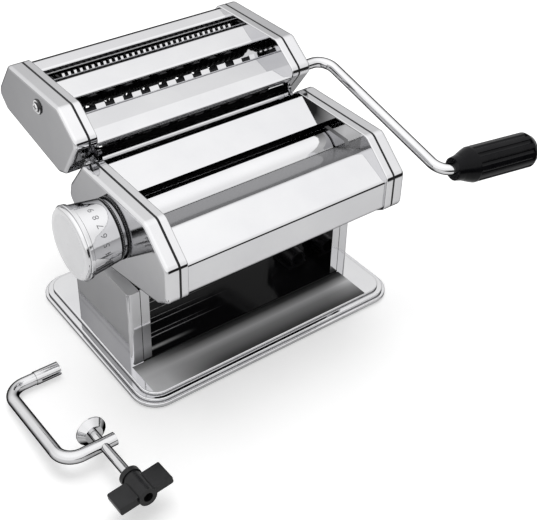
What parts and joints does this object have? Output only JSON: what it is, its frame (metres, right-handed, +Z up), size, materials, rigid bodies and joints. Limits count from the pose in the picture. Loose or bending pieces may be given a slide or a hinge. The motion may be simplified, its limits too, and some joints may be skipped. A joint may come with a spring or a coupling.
{
  "type": "hand cranked pasta machine",
  "caption": "Hand cranked pasta machine: smooth rollers with a gauge knob, lift-off head with wide and narrow cutters, crank and table clamp.",
  "frame": {"origin": "on the base's underside, midway between the side plates; the base reaches 2.5 mm further right than left", "axes": "+X towards the crank side, -Y towards the user at the front, +Z up"},
  "size_m": [0.3699, 0.2671, 0.1675],
  "materials": {
    "polished_steel": "mirror polished stainless steel sheet",
    "roller_chrome": "hard chromed steel",
    "crank_chrome": "chromed steel bar",
    "knob_chrome": "satin chromed",
    "plain_steel": "machined steel",
    "zinc_plated": "bright zinc plated",
    "blackened_steel": "blackened, glossy",
    "bush_nylon": "nylon",
    "black_rubber": "matt rubber",
    "black_seal": "black sealing strip",
    "black_gloss": "moulded, glossy",
    "black_satin": "moulded, satin"
  },
  "bodies": {
    "machine": {"base_plate": "polished_steel", "base_mat": "black_rubber", "stand_side_left": "polished_steel", "stand_side_right": "polished_steel", "stand_cradle": "polished_steel", "clamp_socket": "blackened_steel", "side_plate_left": "polished_steel", "side_plate_right": "polished_steel", "end_cap_left": "polished_steel", "end_cap_right": "polished_steel", "body_gaskets": "black_seal", "body_tie_rods": "zinc_plated", "body_nuts": "zinc_plated", "hopper_plate": "polished_steel", "front_fender": "polished_steel", "rear_wall": "polished_steel", "dough_cheeks": "polished_steel", "rear_scraper": "plain_steel", "rear_roller_bushes": "bush_nylon", "knob_ring": "black_rubber"},
    "gauge": {"eccentric_shaft": "plain_steel"},
    "knob": {"gauge_knob": "knob_chrome", "knob_face": "knob_chrome", "knob_pin": "plain_steel"},
    "carriage": {"bearing_block_left": "plain_steel", "bearing_block_right": "plain_steel", "carriage_bar": "plain_steel"},
    "front_roller_set": {"front_roller": "roller_chrome", "front_roller_shaft": "plain_steel", "front_roller_gear": "plain_steel"},
    "rear_roller_set": {"rear_roller": "roller_chrome", "rear_roller_shaft": "plain_steel", "rear_roller_gear": "plain_steel"},
    "cutter_head": {"cutter_plate_left": "polished_steel", "cutter_plate_right": "polished_steel", "cutter_cap_left": "polished_steel", "cutter_cap_right": "polished_steel", "cutter_gaskets": "black_seal", "cap_screws": "zinc_plated", "cutter_cover_rear": "polished_steel", "cutter_cover_middle": "polished_steel", "cutter_cover_front": "polished_steel", "strip_combs": "plain_steel", "slot_guides": "polished_steel", "cutter_tie_rods": "zinc_plated"},
    "wide_front": {"wide_roller_front": "roller_chrome", "wide_gear_front": "plain_steel"},
    "wide_rear": {"wide_roller_rear": "roller_chrome", "wide_gear_rear": "plain_steel"},
    "narrow_front": {"narrow_roller_front": "roller_chrome", "narrow_gear_front": "plain_steel"},
    "narrow_rear": {"narrow_roller_rear": "roller_chrome", "narrow_gear_rear": "plain_steel"},
    "crank": {"crank_rod": "crank_chrome"},
    "grip": {"crank_grip": "black_gloss"},
    "clamp": {"clamp_frame": "zinc_plated"},
    "clamp_pad_carrier": {"clamp_pad": "zinc_plated"},
    "clamp_screw_set": {"clamp_screw": "zinc_plated", "clamp_wing_knob": "black_satin"}
  },
  "joints": [
    {"name": "gauge_turn", "type": "hinge", "parent": "machine", "child": "gauge", "pos_m": [0, -0.0254, 0.11], "axis": [1, 0, 0], "range_deg": [0, 180]},
    {"name": "knob_pull", "type": "slide", "parent": "gauge", "child": "knob", "axis": [-1, 0, 0], "range_m": [0, 0.004], "stiffness_N_per_m": 600, "springref_m": -0.002},
    {"name": "roller_gap", "type": "slide", "parent": "machine", "child": "carriage", "axis": [0, 1, 0], "range_m": [0, 0.0022]},
    {"name": "rear_roller_spin", "type": "hinge", "parent": "machine", "child": "rear_roller_set", "pos_m": [0, 0.004, 0.11], "axis": [1, 0, 0], "continuous": true},
    {"name": "front_roller_spin", "type": "hinge", "parent": "carriage", "child": "front_roller_set", "pos_m": [0, -0.0265, 0.11], "axis": [1, 0, 0], "continuous": true},
    {"name": "head_lift", "type": "slide", "parent": "machine", "child": "cutter_head", "axis": [0, 0, 1], "range_m": [0, 0.05]},
    {"name": "wide_drive", "type": "hinge", "parent": "cutter_head", "child": "wide_front", "pos_m": [0, 0.03, 0.1405], "axis": [1, 0, 0], "continuous": true},
    {"name": "wide_mate", "type": "hinge", "parent": "cutter_head", "child": "wide_rear", "pos_m": [0, 0.0458, 0.1441], "axis": [1, 0, 0], "continuous": true},
    {"name": "narrow_drive", "type": "hinge", "parent": "cutter_head", "child": "narrow_front", "pos_m": [0, 0.0655, 0.1515], "axis": [1, 0, 0], "continuous": true},
    {"name": "narrow_mate", "type": "hinge", "parent": "cutter_head", "child": "narrow_rear", "pos_m": [0, 0.0817, 0.1515], "axis": [1, 0, 0], "continuous": true},
    {"name": "crank_pull", "type": "slide", "parent": "wide_front", "child": "crank", "axis": [1, 0, 0], "range_m": [0, 0.019]},
    {"name": "grip_spin", "type": "hinge", "parent": "crank", "child": "grip", "pos_m": [0.1218, -0.09338, 0.10836], "axis": [0.9898, -0.138, -0.036], "continuous": true},
    {"name": "clamp_lift", "type": "slide", "parent": "machine", "child": "clamp", "axis": [0, 0, 1], "range_m": [0, 0.05]},
    {"name": "clamp_travel", "type": "slide", "parent": "clamp", "child": "clamp_pad_carrier", "axis": [0, 0.9957, -0.0924], "range_m": [0, 0.0225]},
    {"name": "screw_turn", "type": "hinge", "parent": "clamp_pad_carrier", "child": "clamp_screw_set", "pos_m": [-0.1416, -0.09265, 0.01213], "axis": [0, 0.9957, -0.0924], "range_deg": [0, 5400]}
  ],
  "couplings": [
    {"joint": "gauge_turn", "follows": "roller_gap", "rad_per_m": 1428.6},
    {"joint": "front_roller_spin", "follows": "rear_roller_spin", "ratio": -1},
    {"joint": "wide_mate", "follows": "wide_drive", "ratio": -1},
    {"joint": "narrow_mate", "follows": "narrow_drive", "ratio": -1},
    {"joint": "screw_turn", "follows": "clamp_travel", "rad_per_m": 4188.8}
  ]
}
